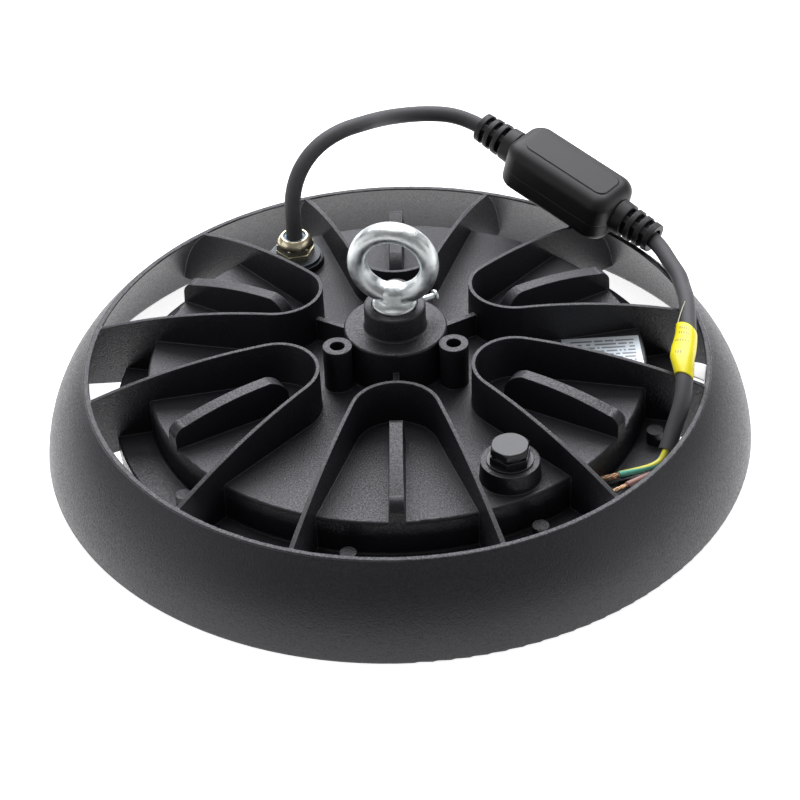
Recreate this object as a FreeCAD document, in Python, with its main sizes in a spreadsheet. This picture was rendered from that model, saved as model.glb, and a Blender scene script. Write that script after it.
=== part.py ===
import FreeCAD, Part
import math
import os
import Sketcher

# High bay light: a round die-cast heat sink with six U-shaped fins inside a flared ring, an eye bolt on
# its hub, a driver and a plate of light chips below its roof, and a supply lead with an inline module.
# The origin is the centre of the ring's bottom edge, +Z is up, and the lengths are millimetres.

Vector = FreeCAD.Vector
Rotation = FreeCAD.Rotation
Placement = FreeCAD.Placement
UP = Vector(0, 0, 1)

doc = FreeCAD.newDocument("HighBayLight")
sheet = doc.addObject("Spreadsheet::Sheet", "Sizes")


class Size:
    """A number that carries the sheet expression it comes from."""

    def __init__(self, value, text):
        self.value = float(value)
        self.text = text

    def __add__(self, other):
        other = as_size(other)
        return Size(self.value + other.value, "(%s + %s)" % (self.text, other.text))

    def __sub__(self, other):
        other = as_size(other)
        return Size(self.value - other.value, "(%s - %s)" % (self.text, other.text))

    def __mul__(self, other):
        other = as_size(other)
        return Size(self.value * other.value, "(%s * %s)" % (self.text, other.text))

    def __truediv__(self, other):
        other = as_size(other)
        return Size(self.value / other.value, "(%s / %s)" % (self.text, other.text))

    def __radd__(self, other):
        return self + other

    def __rsub__(self, other):
        return as_size(other) - self

    def __rmul__(self, other):
        return self * other

    def __neg__(self):
        return Size(-self.value, "(0 - %s)" % self.text)


def as_size(number):
    return number if isinstance(number, Size) else Size(number, "%.6f" % number)


def sine(angle):
    return Size(math.sin(math.radians(angle.value)), "sin(%s)" % angle.text)


def cosine(angle):
    return Size(math.cos(math.radians(angle.value)), "cos(%s)" % angle.text)


def root(number):
    return Size(math.sqrt(number.value), "sqrt(%s)" % number.text)


sheet_rows = []


def size(name, value, note):
    """Write one driving size in the sheet and give it back as a Size."""
    sheet_rows.append(name)
    row = len(sheet_rows)
    sheet.set("A%d" % row, name)
    sheet.set("B%d" % row, str(value))
    sheet.set("C%d" % row, note)
    sheet.setAlias("B%d" % row, name)
    return Size(value, "Sizes." + name)


# Driving sizes of the casting
disc_radius = size("disc_radius", 115.2, "driver housing")
disc_top = size("disc_top", 36.8, "roof of the driver housing")
disc_round = size("disc_round", 1.4, "rounding of the roof's edge")
flange_width = size("flange_width", 16.3, "flange beyond the housing")
flange_radius = disc_radius + flange_width
ring_gap = size("ring_gap", 12.9, "from the flange to the outside of the rim")
rim_radius = flange_radius + ring_gap
ring_flare = size("ring_flare", 19.7, "from the rim out to the ring's bottom edge")
ring_radius = rim_radius + ring_flare
ring_height = size("ring_height", 40.8, "rim above the bottom edge")
rim_round = size("rim_round", 0.6, "rounding of the rim and chamfer of the bottom edge")
ring_wall = size("ring_wall", 2.8, "ring thickness")
ring_curve = size("ring_curve", 58.3, "radius of the ring's flare")
lip_round = size("lip_round", 1.2, "rounding of the ring's bottom edge")
flange_top = size("flange_top", 19.5, "top of the flange")
flange_under = size("flange_under", 10.3, "lens seat under the flange")
flange_round = size("flange_round", 1.2, "rounding of the flange's edge")
hub_radius = size("hub_radius", 23.6, "central hub")
hub_top = size("hub_top", 58.3, "top of the hub and of the fins")
boss_radius = size("boss_radius", 14.1, "eye bolt boss")
boss_top = size("boss_top", 70.2, "top of the eye bolt boss")
foot_round = size("foot_round", 1.0, "fillet at the foot of the hub")
fin_half_angle = size("fin_half_angle", 18.35, "from a fin's centre to its leg")
fin_bend_centre = size("fin_bend_centre", 63.1, "centre of a fin's bend from the axis")
fin_width = size("fin_width", 3.2, "fin thickness at its root")
fin_edge = size("fin_edge", 1.6, "fin thickness at its top")
fin_curve = size("fin_curve", 285.0, "radius of the fin's top edge")
fin_level = size("fin_level", 43.0, "radius at which the top edge starts to fall")
leg_under = size("leg_under", 6.4, "a leg's lower edge where it meets the ring")
bar_width = size("bar_width", 7.6, "bar at its foot")
bar_draft = size("bar_draft", 3.0, "draft of the bar's sides in degrees")
bar_high = size("bar_high", 53.3, "bar's inner shoulder")
bar_low = size("bar_low", 47.4, "bar's outer shoulder")
bar_inner = size("bar_inner", 57.5, "inner end of a bar")
bar_round = size("bar_round", 5.5, "rounding of the bar's outer shoulder")
bar_slope_round = size("bar_slope_round", 9.0, "length of the bar's inner shoulder")
bar_slope_curve = size("bar_slope_curve", 12.6, "radius of the bar's inner shoulder")
bar_top_curve = size("bar_top_curve", 160.0, "radius of the bar's sloping top")
post_circle = size("post_circle", 30.4, "radius of the bracket screws' circle")
post_radius = size("post_radius", 6.65, "bracket screw post")
post_bore = size("post_bore", 3.4, "tapping radius for an M8 screw")
post_depth = size("post_depth", 16.0, "depth of the bracket screw holes")
rib_width = size("rib_width", 2.6, "rib between the hub and a fin")
rib_top = size("rib_top", 48.4, "top of that rib")
pillar_inset = size("pillar_inset", 8.2, "lens screws from the flange's edge")
pillar_circle = flange_radius - pillar_inset
pillar_radius = size("pillar_radius", 3.7, "lens screw pillar")
pillar_top = size("pillar_top", 26.5, "top of a lens screw pillar")
pad_radius = size("pad_radius", 13.7, "seat of the vent and of the gland")
vent_pad_top = size("vent_pad_top", 46.0, "top of the vent's seat")
gland_pad_top = size("gland_pad_top", 40.4, "top of the gland's seat")
vent_inset = size("vent_inset", 16.7, "vent from the roof's edge")
vent_reach = disc_radius - vent_inset
gland_inset = size("gland_inset", 17.2, "gland from the roof's edge")
gland_reach = disc_radius - gland_inset
roof = size("roof", 3.6, "roof of the driver housing")
housing_wall = size("housing_wall", 4.2, "side wall of the driver housing")
plate_seat = size("plate_seat", 15.3, "ledge that the mounting plate lies against")
recess_inset = size("recess_inset", 0.9, "mounting plate's recess inside the housing's outer radius")
plate_recess = disc_radius - recess_inset
root_depth = size("root_depth", 1.5, "roots of the fins inside the housing's walls")
cut_margin = size("cut_margin", 20.0, "cuts beyond the casting")
stem_radius = size("stem_radius", 4.9, "eye bolt stem, M10")
stem_length = size("stem_length", 17.0, "eye bolt stem below its collar")
stem_clearance = size("stem_clearance", 0.08, "round the eye bolt stem")
collar_radius = size("collar_radius", 10.0, "eye bolt collar")
collar_height = size("collar_height", 3.2, "eye bolt collar")
collar_recess = size("collar_recess", 1.6, "depth of the collar's seat")
collar_clearance = size("collar_clearance", 0.6, "round the collar")
screw_hole = size("screw_hole", 1.7, "tapping radius of the small screws")
lock_angle = size("lock_angle", 28.5, "direction of the lock screw")
lock_drop = size("lock_drop", 3.1, "lock screw below the boss top")
lock_radius = size("lock_radius", 1.5, "lock screw, M3")
fit_gap = size("fit_gap", 0.08, "clearance round threads and stems")
pad_draft = size("pad_draft", 4.0, "draft of the vent's and gland's seats in degrees")
gland_thread = size("gland_thread", 8.0, "gland thread, M16")
vent_thread = size("vent_thread", 6.0, "vent thread, M12")
thread_depth = size("thread_depth", 12.0, "tapped depth of the inner screws")
lens_screw_depth = size("lens_screw_depth", 13.0, "tapped depth of the lens screws")
column_radius = size("column_radius", 4.6, "column under the roof that the inner screws enter")
board_screw_inset = size("board_screw_inset", 19.3, "inner screws from the recess's wall")
board_screw_circle = plate_recess - board_screw_inset
edge_step = size("edge_step", 0.8, "small chamfers, roundings and steps")

# Driving sizes of the fittings on the roof
eye_height = size("eye_height", 92.3, "centre of the eye")
eye_hole = size("eye_hole", 12.3, "inside of the eye")
eye_bar = size("eye_bar", 4.2, "half thickness of the eye's ring")
eye_flat = size("eye_flat", 1.2, "half of the flat across the eye's ring")
neck_radius = size("neck_radius", 7.2, "neck between the collar and the eye")
lock_length = size("lock_length", 15.3, "lock screw below its head")
lock_head = size("lock_head", 2.8, "radius of the lock screw's head")
lead_radius = size("lead_radius", 3.9, "both leads")
lead_clearance = size("lead_clearance", 0.02, "round a lead where it is gripped")
core_hole = size("core_hole", 3.0, "bore behind the shoulder that a lead's end lies on")
washer_radius = size("washer_radius", 12.2, "gland's sealing washer")
washer_height = size("washer_height", 1.6, "gland's sealing washer")
gland_flange = size("gland_flange", 3.0, "height of the gland body's hexagon")
gland_corner = size("gland_corner", 9.4, "half across the corners of the gland body's hexagon")
gland_tail = size("gland_tail", 9.0, "gland thread below its hexagon")
nut_hex = size("nut_hex", 3.2, "height of the dome nut's hexagon")
nut_corner = size("nut_corner", 9.1, "half across the corners of the dome nut's hexagon")
nut_radius = size("nut_radius", 8.6, "dome of the nut where it leaves the hexagon")
nut_height = size("nut_height", 7.4, "dome nut")
nut_lip = size("nut_lip", 1.4, "thickness of the dome nut's lip")
nut_mouth = size("nut_mouth", 5.6, "mouth of the dome nut")
nut_cavity = size("nut_cavity", 6.6, "room for the seal inside the dome nut")
vent_corner = size("vent_corner", 9.5, "half across the vent plug's corners")
vent_tier = size("vent_tier", 3.4, "height of the vent plug's lower hexagon")
vent_groove = size("vent_groove", 1.0, "slot between the vent plug's two tiers")
vent_cap = size("vent_cap", 3.3, "height of the vent plug's upper tier")
vent_neck = size("vent_neck", 7.4, "neck inside that slot")
vent_washer_radius = size("vent_washer_radius", 10.4, "vent plug's washer")
vent_washer_height = size("vent_washer_height", 0.8, "vent plug's washer")
vent_tail = size("vent_tail", 13.0, "vent thread below its head")
label_length = size("label_length", 36.0, "rating label")
label_width = size("label_width", 27.0, "rating label")
label_thickness = size("label_thickness", 0.2, "rating label")

# Driving sizes of the light unit below the roof
plate_thickness = size("plate_thickness", 2.5, "mounting plate")
plate_gap = size("plate_gap", 0.3, "mounting plate from the recess's wall")
plate_radius = plate_recess - plate_gap
board_thickness = size("board_thickness", 1.6, "light board, driver board and module board")
light_board_gap = size("light_board_gap", 4.3, "light board from the recess's wall")
light_board_radius = plate_recess - light_board_gap
chip_size = size("chip_size", 3.0, "side of a light chip")
chip_height = size("chip_height", 0.7, "light chip")
wire_hole = size("wire_hole", 5.0, "hole for the wires through the plate and the board")
small_screw = size("small_screw", 1.6, "radius of the inner screws and of the lens screws")
small_head = size("small_head", 3.2, "head radius of those screws")
head_height = size("head_height", 1.6, "head of the screws")
screw_clearance = size("screw_clearance", 0.5, "round a screw in its clearance hole")
lens_inset = size("lens_inset", 1.5, "lens from the flange's edge")
lens_radius = flange_radius - lens_inset
lens_thickness = size("lens_thickness", 2.5, "lens")
lens_screw_reach = size("lens_screw_reach", 16.0, "lens screw below its head")
board_screw_reach = size("board_screw_reach", 14.0, "inner screw below its head")
gasket_step = size("gasket_step", 3.4, "inside of the lens gasket beyond the recess's wall")
gasket_inner = plate_recess + gasket_step
gasket_inset = size("gasket_inset", 2.0, "lens gasket from the flange's edge")
gasket_outer = flange_radius - gasket_inset
gasket_thickness = size("gasket_thickness", 1.0, "lens gasket")
frame_inset = size("frame_inset", 0.5, "ring that holds the lens from the flange's edge")
frame_radius = flange_radius - frame_inset
frame_thickness = size("frame_thickness", 2.2, "ring that holds the lens")
spacer_height = size("spacer_height", 2.4, "spacer below the driver board")
spacer_radius = size("spacer_radius", 3.2, "spacer below the driver board")
driver_length = size("driver_length", 96.0, "driver board")
driver_width = size("driver_width", 62.0, "driver board")
driver_edge = size("driver_edge", 4.5, "driver screw from the board's edges")
driver_screw_reach = size("driver_screw_reach", 5.5, "driver screw below its head")
core_block_length = size("core_block_length", 28.0, "transformer core")
core_block_width = size("core_block_width", 17.0, "transformer core")
core_block_height = size("core_block_height", 11.5, "transformer core")
coil_length = size("coil_length", 20.0, "transformer coil")
coil_width = size("coil_width", 26.0, "transformer coil")
coil_height = size("coil_height", 9.0, "transformer coil")
choke_radius = size("choke_radius", 8.0, "choke")
choke_height = size("choke_height", 9.5, "choke")
capacitor_radius = size("capacitor_radius", 5.0, "capacitors")
capacitor_height = size("capacitor_height", 12.0, "capacitors")
terminal_length = size("terminal_length", 9.0, "terminal block")
terminal_width = size("terminal_width", 20.0, "terminal block")
terminal_height = size("terminal_height", 10.0, "terminal block")

# Driving sizes of the inline module and of the leads
module_length = size("module_length", 62.9, "inline module")
module_width = size("module_width", 31.0, "inline module")
module_height = size("module_height", 24.7, "inline module")
module_seam = size("module_seam", 10.5, "seam above the module's underside")
module_corner = size("module_corner", 9.0, "module's upright edges")
module_shoulder = size("module_shoulder", 6.5, "rounding round the module's top")
module_foot = size("module_foot", 4.5, "rounding round the module's underside")
module_wall = size("module_wall", 2.6, "module's wall")
panel_inset = size("panel_inset", 7.0, "raised panel from the module's sides")
panel_height = size("panel_height", 0.4, "raised panel on the module's top")
module_board_length = size("module_board_length", 44.0, "module board")
module_board_width = size("module_board_width", 20.0, "module board")
module_post = size("module_post", 2.2, "radius of a post below the module board")
module_post_height = size("module_post_height", 3.0, "post below the module board")
relief_length = size("relief_length", 22.0, "strain relief beyond the module")
relief_root = size("relief_root", 8.8, "strain relief at the module")
relief_tip = size("relief_tip", 7.4, "strain relief at its free end")
relief_plug = size("relief_plug", 5.2, "part of the strain relief inside the module's wall")
relief_first = size("relief_first", 6.0, "solid part of the strain relief next to the module")
relief_slot = size("relief_slot", 2.6, "width of a slot and of a rung in the strain relief")
relief_core = size("relief_core", 5.2, "what the slots leave of the strain relief")
relief_rail = size("relief_rail", 3.4, "width of the rails between the slots")
relief_grip = size("relief_grip", 12.0, "length of lead inside the strain relief")
relief_mouth = size("relief_mouth", 5.5, "depth of the strain relief's flared mouth")
tag_wall = size("tag_wall", 0.5, "film of the wire tag and of its flag")
flag_length = size("flag_length", 14.0, "white flag along the lead")
flag_reach = size("flag_reach", 5.6, "white flag beyond the tag")
core_radius = size("core_radius", 1.4, "insulated core")
core_circle = size("core_circle", 1.9, "cores from the lead's axis")
strand_radius = size("strand_radius", 0.95, "bared copper strands of a core")
strand_length = size("strand_length", 8.5, "bared end of a core")

FIN_COUNT = 6
POST_COUNT = 3
POST_ANGLE = 90
PILLAR_COUNT = 9
PILLAR_ANGLE = -20
BOARD_SCREW_COUNT = 6
BOARD_SCREW_ANGLE = 30
RUNG_COUNT = 3
VENT_ANGLE = -60
GLAND_ANGLE = 120
EYE_TURN = -10

# Rings of light chips, each with its radius and its number of chips
CHIP_RINGS = ((32, 12), (54, 18), (76, 24), (103, 36))

# Free placements, in millimetres and degrees
LABEL_CENTRE = (95.13, 1.78, 0)
LABEL_TURN = 3
TRANSFORMER_PLACE = (8, 4)
CHOKE_PLACE = (-20, 12)
CAPACITOR_PLACES = ((-36, -14), (-36, 0), (-22, -14))
TERMINAL_PLACE = (39, 0)
MODULE_PLACE = Placement(
    Vector(82.12, 116.23, 47.68), Rotation(UP, -38.82) * Rotation(Vector(0, 1, 0), 14.03))

# Routes of the leads and of the bared cores, chosen by hand in millimetres
ARC_SHARE = 0.45
FIRST_RUN = 15
EXIT_RUN = 1
CORE_RUN = 3.6
SUPPLY_ROUTE = [
    (-48.9, 88.4, 71.3),
    (-46.3, 95.2, 82.6),
    (-40.4, 104.6, 91.5),
    (-31.8, 114.9, 96.3),
    (-20.2, 126.4, 96.6),
    (-6.5, 138.0, 91.0),
    (6.4, 147.3, 85.8),
    (18.8, 151.9, 81.4),
    (30.9, 152.0, 77.1),
]
TAIL_ROUTE = [
    (131.9, 70.1, 44.4),
    (135.7, 55.2, 45.0),
    (135.3, 41.5, 45.3),
    (135.6, 28.1, 47.5),
    (134.8, 9.3, 48.2),
    (132.7, -9.3, 48.8),
    (130.6, -24.6, 49.2),
    (128.1, -40.7, 43.1),
    (123.2, -52.3, 33.5),
    (119.7, -59.7, 27.9),
]
TAG_FIRST = 11
TAG_LAST = 17
CORE_ROUTES = (
    ("earth", 60, [
        (115.5, -66.0, 26.1), (111.6, -67.6, 25.4), (105.5, -69.0, 25.2), (98.3, -70.5, 26.0)]),
    ("live", 300, [
        (118.0, -65.9, 23.6), (113.9, -69.9, 22.8), (107.8, -73.8, 22.4), (101.0, -77.0, 22.4)]),
    ("neutral", 180, [
        (114.6, -64.0, 23.5), (110.5, -66.5, 22.2), (104.8, -69.3, 21.4), (99.0, -71.8, 21.2)]),
)

def origin_part(body, role):
    """Give a body's own origin plane or axis."""
    return [part for part in body.Origin.OriginFeatures if part.Role == role][0]


def new_body(label):
    body = doc.addObject("PartDesign::Body", label)
    body.Label = label
    return body


def arc_between(start, end, radius, side):
    """Arc of a radius from start to end. Side 1 turns left, and side -1 turns right."""
    chord = end - start
    half = chord.Length / 2
    rise = math.sqrt(max(radius * radius - half * half, 0))
    across = Vector(-chord.y, chord.x, 0).normalize()
    centre = start + chord * 0.5 + across * (rise * side)
    first, last = (start, end) if side > 0 else (end, start)
    begin = math.atan2(first.y - centre.y, first.x - centre.x)
    finish = math.atan2(last.y - centre.y, last.x - centre.x)
    return Part.ArcOfCircle(Part.Circle(centre, UP, radius), begin, finish)


def bind_constraint(sketch, constraint, expression):
    index = sketch.addConstraint(constraint)
    sketch.setExpression("Constraints[%d]" % index, expression)


def place_point(sketch, geometry, end, across, up):
    """Hold one end of a line at its coordinates."""
    for kind, axis, number in (("DistanceX", -2, across), ("DistanceY", -1, up)):
        if number.value == 0:
            sketch.addConstraint(Sketcher.Constraint("PointOnObject", geometry, end, axis))
        else:
            bind_constraint(sketch, Sketcher.Constraint(kind, -1, 1, geometry, end, number.value), number.text)


def draw_loop(sketch, corners):
    """Draw a closed outline. A corner is (across, up), or (across, up, radius, side) at the end of an arc."""
    corners = [[as_size(value) for value in corner[:3]] + list(corner[3:]) for corner in corners]
    first = sketch.GeometryCount
    ends = []
    for index, corner in enumerate(corners):
        following = corners[(index + 1) % len(corners)]
        start = Vector(corner[0].value, corner[1].value, 0)
        end = Vector(following[0].value, following[1].value, 0)
        if len(following) > 2:
            sketch.addGeometry(arc_between(start, end, following[2].value, following[3]), False)
            ends.append((1, 2) if following[3] > 0 else (2, 1))
        else:
            sketch.addGeometry(Part.LineSegment(start, end), False)
            ends.append((1, 2))
    for index, corner in enumerate(corners):
        line = first + index
        after = (index + 1) % len(corners)
        place_point(sketch, line, ends[index][0], corner[0], corner[1])
        sketch.addConstraint(
            Sketcher.Constraint("Coincident", line, ends[index][1], first + after, ends[after][0]))
        if len(corners[after]) > 2:
            radius = corners[after][2]
            bind_constraint(sketch, Sketcher.Constraint("Radius", line, radius.value), radius.text)


def draw_circle(sketch, across, up, radius):
    """Draw a circle held by its centre and its radius."""
    across, up, radius = as_size(across), as_size(up), as_size(radius)
    centre = Vector(across.value, up.value, 0)
    line = sketch.addGeometry(Part.Circle(centre, UP, radius.value), False)
    place_point(sketch, line, 3, across, up)
    bind_constraint(sketch, Sketcher.Constraint("Radius", line, radius.value), radius.text)


def new_sketch(body, name, role, lift=None):
    """Start a sketch on one of the body's origin planes, lifted along its normal."""
    sketch = body.newObject("Sketcher::SketchObject", name)
    sketch.AttachmentSupport = [(origin_part(body, role), "")]
    sketch.MapMode = "FlatFace"
    if lift is not None:
        sketch.AttachmentOffset = Placement(Vector(0, 0, lift.value), Rotation())
        sketch.setExpression("AttachmentOffset.Base.z", lift.text)
    return sketch


def turned(body, name, loops, kind="Revolution"):
    """Turn outlines of radius and height about the body's vertical axis."""
    sketch = new_sketch(body, name + "_section", "XZ_Plane")
    for loop in loops:
        draw_loop(sketch, loop)
    feature = body.newObject("PartDesign::" + kind, name)
    feature.Profile = sketch
    feature.ReferenceAxis = (sketch, ["V_Axis"])
    feature.Angle = 360
    feature.Refine = False
    body.Tip = feature
    return feature


def raised(body, name, sketch, height, kind="Pad", taper=None, reverse=False):
    """Pad or pocket a sketch, with an optional draft."""
    feature = body.newObject("PartDesign::" + kind, name)
    feature.Profile = sketch
    feature.Length = height.value
    feature.setExpression("Length", height.text)
    feature.Reversed = reverse
    feature.Refine = False
    if taper is not None:
        feature.TaperAngle = taper.value
        feature.setExpression("TaperAngle", taper.text)
    body.Tip = feature
    return feature


def lofted(body, name, low, high):
    """Join two outlines with straight, drafted sides."""
    feature = body.newObject("PartDesign::AdditiveLoft", name)
    feature.Profile = low
    feature.Sections = [high]
    feature.Ruled = True
    feature.Refine = False
    body.Tip = feature
    return feature


def around(body, name, feature, count):
    """Repeat a feature evenly about the vertical axis."""
    pattern = body.newObject("PartDesign::PolarPattern", name)
    pattern.Originals = [feature]
    pattern.Axis = (origin_part(body, "Z_Axis"), [""])
    pattern.Angle = 360
    pattern.Occurrences = count
    pattern.Refine = False
    body.Tip = pattern
    return pattern


def housing_section():
    """Half section of the hub, the housing and the flange, with the eye bolt's bore."""
    bore = stem_radius + stem_clearance
    seat = collar_radius + collar_clearance
    seat_floor = boss_top - collar_recess
    inside = disc_radius - housing_wall
    return [
        (0, disc_top - roof),
        (inside, disc_top - roof),
        (inside, plate_seat),
        (plate_recess, plate_seat),
        (plate_recess, flange_under),
        (flange_radius - flange_round, flange_under),
        (flange_radius, flange_under + flange_round, flange_round, 1),
        (flange_radius, flange_top - flange_round),
        (flange_radius - flange_round, flange_top, flange_round, 1),
        (disc_radius + foot_round, flange_top),
        (disc_radius, flange_top + foot_round, foot_round, -1),
        (disc_radius, disc_top - disc_round),
        (disc_radius - disc_round, disc_top, disc_round, 1),
        (hub_radius + foot_round, disc_top),
        (hub_radius, disc_top + foot_round, foot_round, -1),
        (hub_radius, hub_top - foot_round),
        (hub_radius - foot_round, hub_top, foot_round, 1),
        (boss_radius + foot_round, hub_top),
        (boss_radius, hub_top + foot_round, foot_round, -1),
        (boss_radius, boss_top - foot_round),
        (boss_radius - foot_round, boss_top, foot_round, 1),
        (seat, boss_top),
        (seat, seat_floor),
        (bore, seat_floor),
        (bore, seat_floor - stem_length - 2),
        (0, seat_floor - stem_length - 2),
    ]


def ring_section():
    """Half section of the flared ring with its rounded lip."""
    inner = rim_radius - ring_wall
    lip = ring_radius - ring_wall
    return [
        (lip + rim_round, 0),
        (ring_radius - lip_round, 0),
        (ring_radius, lip_round, lip_round, 1),
        (rim_radius, ring_height - rim_round, ring_curve, 1),
        (rim_radius - rim_round, ring_height, rim_round, 1),
        (inner + rim_round, ring_height),
        (inner, ring_height - rim_round, rim_round, 1),
        (lip, lip_round, ring_curve - ring_wall, -1),
    ]


def crown_section():
    """What is cut from the fins: above their curved top edge, and outside the middle of the ring's wall."""
    half_wall = ring_wall / 2
    edge = rim_radius - half_wall
    fall = fin_curve - root(fin_curve * fin_curve - (edge - fin_level) * (edge - fin_level))
    clear = ring_radius + cut_margin
    above = hub_top + cut_margin
    return [
        (fin_level - 5, hub_top),
        (fin_level, hub_top),
        (edge, hub_top - fall, fin_curve, -1),
        (ring_radius - half_wall, lip_round, ring_curve - half_wall, -1),
        (clear, lip_round),
        (clear, above),
        (fin_level - 5, above),
    ]


def leg_section():
    """What is cut from the fins inside the housing, and below the legs in the open gap to the ring."""
    return [
        (fin_level - 5, leg_under - 3),
        (ring_radius, leg_under - 3),
        (ring_radius, leg_under - 1),
        (flange_radius - root_depth, flange_under + flange_round),
        (flange_radius - root_depth, flange_top - root_depth),
        (disc_radius - root_depth, flange_top - root_depth),
        (disc_radius - root_depth, disc_top - root_depth),
        (fin_level - 5, disc_top - root_depth),
    ]


def fin_plan(width):
    """Plan of one U-shaped fin of a thickness: two radial legs joined by a round bend."""
    half = width / 2
    across, along = sine(fin_half_angle), cosine(fin_half_angle)
    bend = fin_bend_centre * across
    reach = ring_radius + 2

    def point(distance, offset, side):
        out = (distance * across + offset * along) * side
        up = distance * along - offset * across
        return out, up

    tangent = fin_bend_centre * along
    return [
        point(reach, half, 1),
        point(reach, -half, 1),
        point(tangent, -half, 1),
        point(tangent, -half, -1) + (bend - half, -1),
        point(reach, -half, -1),
        point(reach, half, -1),
        point(tangent, half, -1),
        point(tangent, half, 1) + (bend + half, 1),
    ]


def bar_cut():
    """What is cut above the bars: their sloping top with a round shoulder at each end."""
    clear = hub_top + cut_margin
    return [
        (bar_inner, disc_top + 2),
        (bar_inner + bar_slope_round, bar_high, bar_slope_curve, -1),
        (disc_radius - bar_round, bar_low, bar_top_curve, -1),
        (disc_radius, bar_low - bar_round, bar_round, -1),
        (disc_radius, disc_top - 3),
        (disc_radius + cut_margin, disc_top - 3),
        (disc_radius + cut_margin, clear),
        (bar_inner - 5, clear),
        (bar_inner - 5, disc_top + 2),
    ]


def round_posts(body, name, places, radius, low, high, taper=None):
    """Pad round posts between two heights."""
    sketch = new_sketch(body, name + "_plan", "XY_Plane", low)
    for across, along in places:
        draw_circle(sketch, across, along, radius)
    return raised(body, name, sketch, high - low, taper=taper)


def round_holes(body, name, places, radius, mouth, depth, upward=False):
    """Pocket round holes from their mouth, down or up."""
    sketch = new_sketch(body, name + "_plan", "XY_Plane", mouth)
    for across, along in places:
        draw_circle(sketch, across, along, radius)
    return raised(body, name, sketch, depth, kind="Pocket", reverse=upward)


def block(body, name, across, along, low, high, taper=None, kind="Pad"):
    """Pad or pocket a rectangle, given by its two ranges, between two heights."""
    sketch = new_sketch(body, name + "_plan", "XY_Plane", low)
    left, right = across
    front, back = along
    draw_loop(sketch, [(left, front), (right, front), (right, back), (left, back)])
    return raised(body, name, sketch, high - low, kind=kind, taper=taper, reverse=kind == "Pocket")


def polar(distance, degrees):
    """Coordinates of a point at a distance from the axis."""
    angle = math.radians(degrees)
    return distance * round(math.cos(angle), 9), distance * round(math.sin(angle), 9)


def evenly(distance, degrees, count):
    """Places spread evenly on a circle, from a first direction."""
    return [polar(distance, degrees + 360 / count * turn) for turn in range(count)]


POST_PLACES = evenly(post_circle, POST_ANGLE, POST_COUNT)
PILLAR_PLACES = evenly(pillar_circle, PILLAR_ANGLE, PILLAR_COUNT)
COLUMN_PLACES = evenly(board_screw_circle, BOARD_SCREW_ANGLE, BOARD_SCREW_COUNT)
VENT_PLACE = polar(vent_reach, VENT_ANGLE)
GLAND_PLACE = polar(gland_reach, GLAND_ANGLE)
DRIVER_PLACES = [
    ((driver_length / 2 - driver_edge) * side, (driver_width / 2 - driver_edge) * end)
    for side in (1, -1) for end in (1, -1)]


def make_heat_sink():
    """One-piece die casting: bars and fins are trimmed first, and then joined by the housing and the ring."""
    body = new_body("heat_sink")
    body.AllowCompound = True

    foot = disc_top - 1
    half_bar = bar_width / 2
    bar = block(body, "bar", (-half_bar, half_bar), (bar_inner, disc_radius + 2), foot, bar_high + 2, -bar_draft)
    around(body, "bars", bar, FIN_COUNT)
    turned(body, "bar_tops", [bar_cut()], kind="Groove")

    fin_root = new_sketch(body, "fin_root", "XY_Plane", leg_under - 1)
    draw_loop(fin_root, fin_plan(fin_width))
    fin_crest = new_sketch(body, "fin_crest", "XY_Plane", hub_top + 1)
    draw_loop(fin_crest, fin_plan(fin_edge))
    fin = lofted(body, "fin", fin_root, fin_crest)
    around(body, "fins", fin, FIN_COUNT)
    turned(body, "fin_tops", [crown_section(), leg_section()], kind="Groove")

    ceiling = disc_top - roof
    apex = fin_bend_centre - fin_bend_centre * sine(fin_half_angle)
    half_rib = rib_width / 2

    turned(body, "housing_and_ring", [housing_section(), ring_section()])
    rib = block(body, "rib", (-half_rib, half_rib), (-apex, 1 - hub_radius), foot, rib_top)
    around(body, "ribs", rib, POST_COUNT)
    round_posts(body, "posts", POST_PLACES, post_radius, foot, hub_top)
    round_posts(body, "vent_pad", [VENT_PLACE], pad_radius, foot, vent_pad_top, -pad_draft)
    round_posts(body, "gland_pad", [GLAND_PLACE], pad_radius, foot, gland_pad_top, -pad_draft)
    round_posts(body, "pillars", PILLAR_PLACES, pillar_radius, flange_top - 1, pillar_top)
    round_posts(body, "columns", COLUMN_PLACES, column_radius, plate_seat, ceiling + 1)
    round_holes(body, "post_holes", POST_PLACES, post_bore, hub_top, post_depth)
    round_holes(body, "column_bores", COLUMN_PLACES, screw_hole, plate_seat, thread_depth, True)
    round_holes(body, "pillar_holes", PILLAR_PLACES, screw_hole, flange_under, lens_screw_depth, True)
    round_holes(body, "gland_hole", [GLAND_PLACE], gland_thread + fit_gap, gland_pad_top, gland_pad_top - ceiling + 1)
    round_holes(body, "vent_hole", [VENT_PLACE], vent_thread + fit_gap, vent_pad_top, vent_pad_top - ceiling + 1)

    bore = body.newObject("PartDesign::SubtractiveCylinder", "lock_hole")
    bore.AttachmentSupport = [(origin_part(body, "XY_Plane"), "")]
    bore.MapMode = "FlatFace"
    sideways = Rotation(UP, lock_angle.value) * Rotation(Vector(0, 1, 0), 90)
    bore.AttachmentOffset = Placement(Vector(0, 0, (boss_top - lock_drop).value), sideways)
    bore.setExpression("AttachmentOffset.Base.z", (boss_top - lock_drop).text)
    bore.Radius = (lock_radius + fit_gap).value
    bore.setExpression("Radius", (lock_radius + fit_gap).text)
    bore.Height = (boss_radius + 2).value
    bore.setExpression("Height", (boss_radius + 2).text)
    bore.Refine = False
    body.Tip = bore
    return body

def rotated(place, degrees):
    """Placement over a point of the roof, turned about the vertical."""
    return Placement(Vector(place[0].value, place[1].value, 0), Rotation(UP, degrees))


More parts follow.
